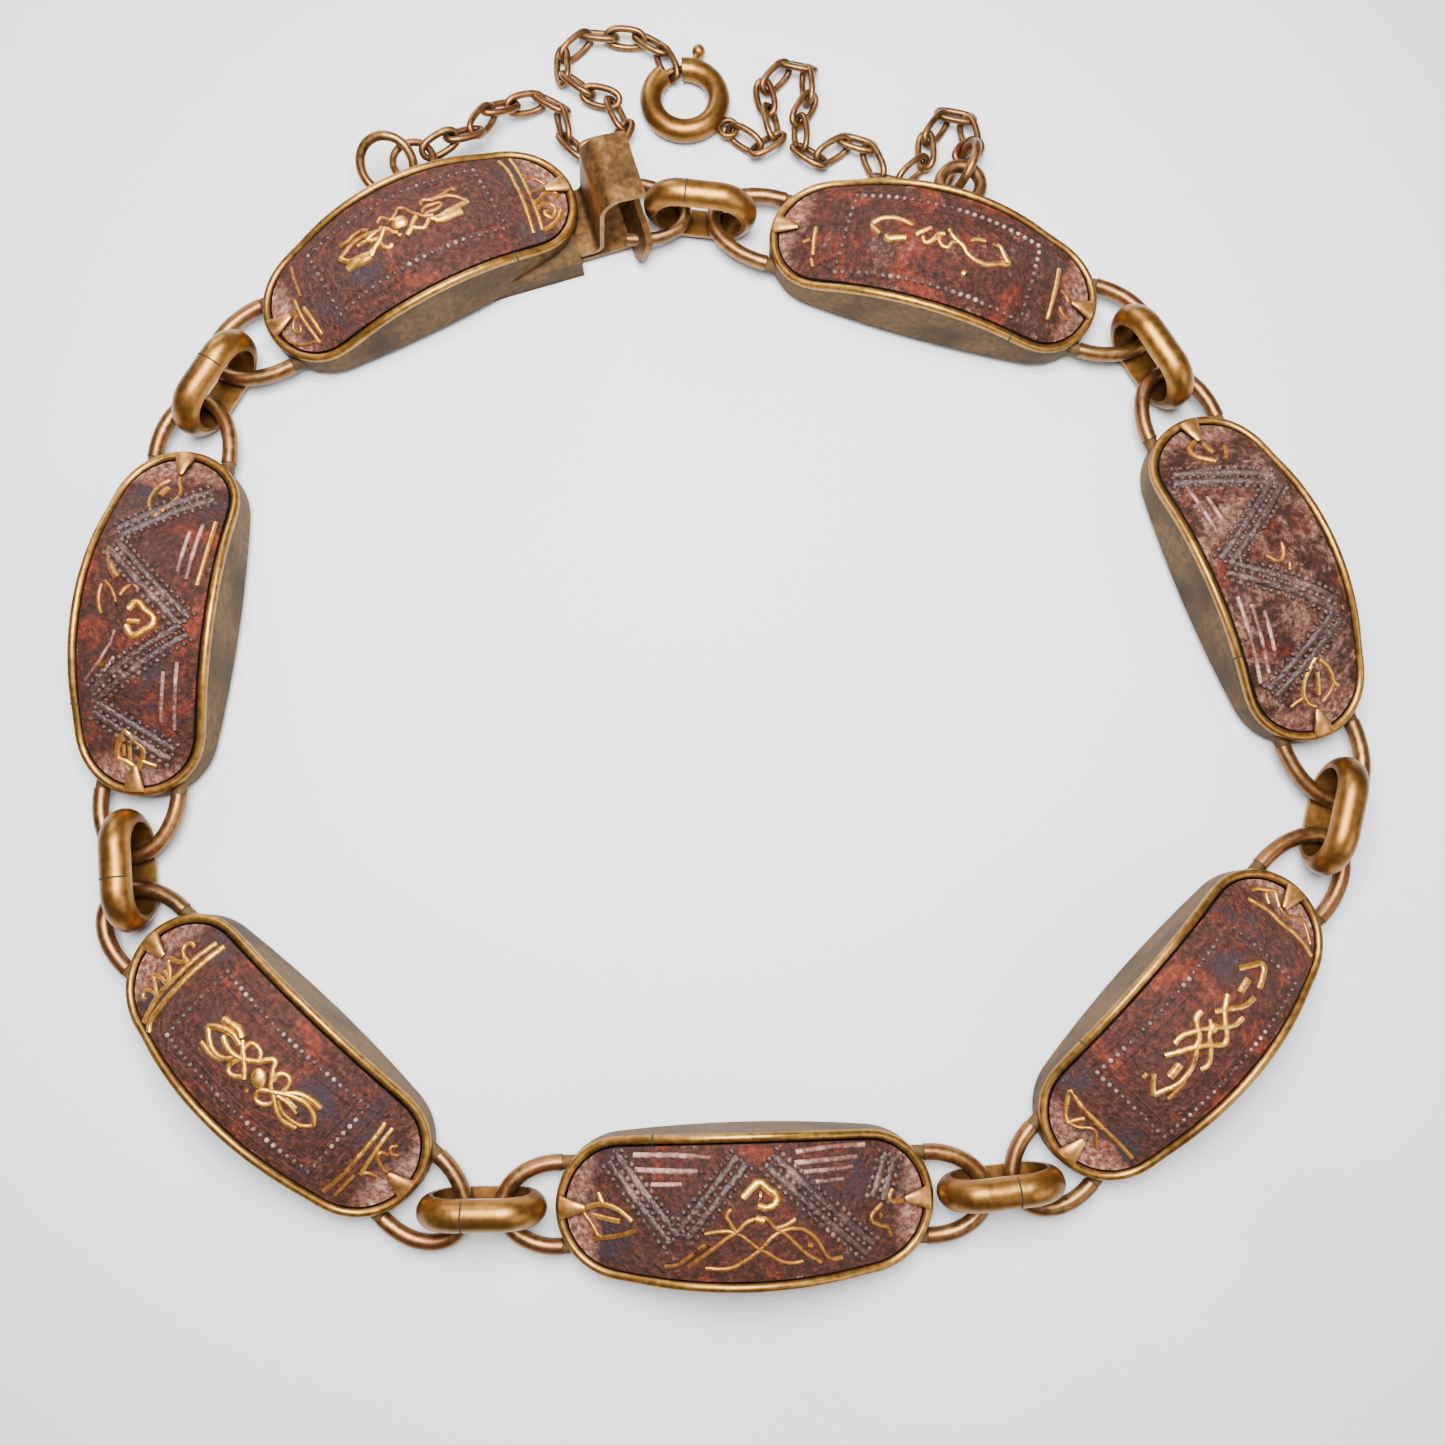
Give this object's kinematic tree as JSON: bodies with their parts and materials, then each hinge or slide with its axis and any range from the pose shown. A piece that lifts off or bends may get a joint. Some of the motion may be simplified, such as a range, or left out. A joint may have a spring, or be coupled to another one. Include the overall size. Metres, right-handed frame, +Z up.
{
  "type": "link bracelet",
  "caption": "Brass link bracelet of domed oval plaques with gold inlaid knots and beaded borders, joined by oval rings, with a tongue clasp and a safety chain on a bolt ring",
  "frame": {"origin": "middle of the outline on the surface that the bracelet lies on", "axes": "+Z up out of the surface and towards the plaques' faces, +Y from the wrist side towards the clasp and safety chain, +X to the wearer's right as pictured"},
  "size_m": [0.0778, 0.0794, 0.006],
  "materials": {
    "bezel_brass": "satin",
    "plaque_steel": "rough",
    "ring_brass": "satin",
    "chain_brass": "satin"
  },
  "bodies": {
    "bracelet": {"bezel_1": "bezel_brass", "bezel_2": "bezel_brass", "bezel_3": "bezel_brass", "bezel_4": "bezel_brass", "bezel_5": "bezel_brass", "bezel_6": "bezel_brass", "bezel_7": "bezel_brass", "plaque_1": "plaque_steel", "plaque_2": "plaque_steel", "plaque_3": "plaque_steel", "plaque_4": "plaque_steel", "plaque_5": "plaque_steel", "plaque_6": "plaque_steel", "plaque_7": "plaque_steel", "connector_1": "ring_brass", "connector_2": "ring_brass", "connector_3": "ring_brass", "connector_4": "ring_brass", "connector_5": "ring_brass", "connector_6": "ring_brass", "connector_7": "ring_brass", "clasp_tongue": "ring_brass", "jump_ring_left": "chain_brass", "jump_ring_right": "chain_brass", "chain_left": "chain_brass", "chain_right": "chain_brass", "spring_ring": "chain_brass"},
    "sliding_bolt": {"ring_bolt": "chain_brass"}
  },
  "joints": [
    {"name": "bolt_slide", "type": "hinge", "parent": "bracelet", "child": "sliding_bolt", "pos_m": [-0.00298, 0.03415, 0.00075], "axis": [0, 0, -1], "range_deg": [0, 40], "stiffness_Nm_per_rad": 0.0004, "springref_deg": -20.05}
  ]
}
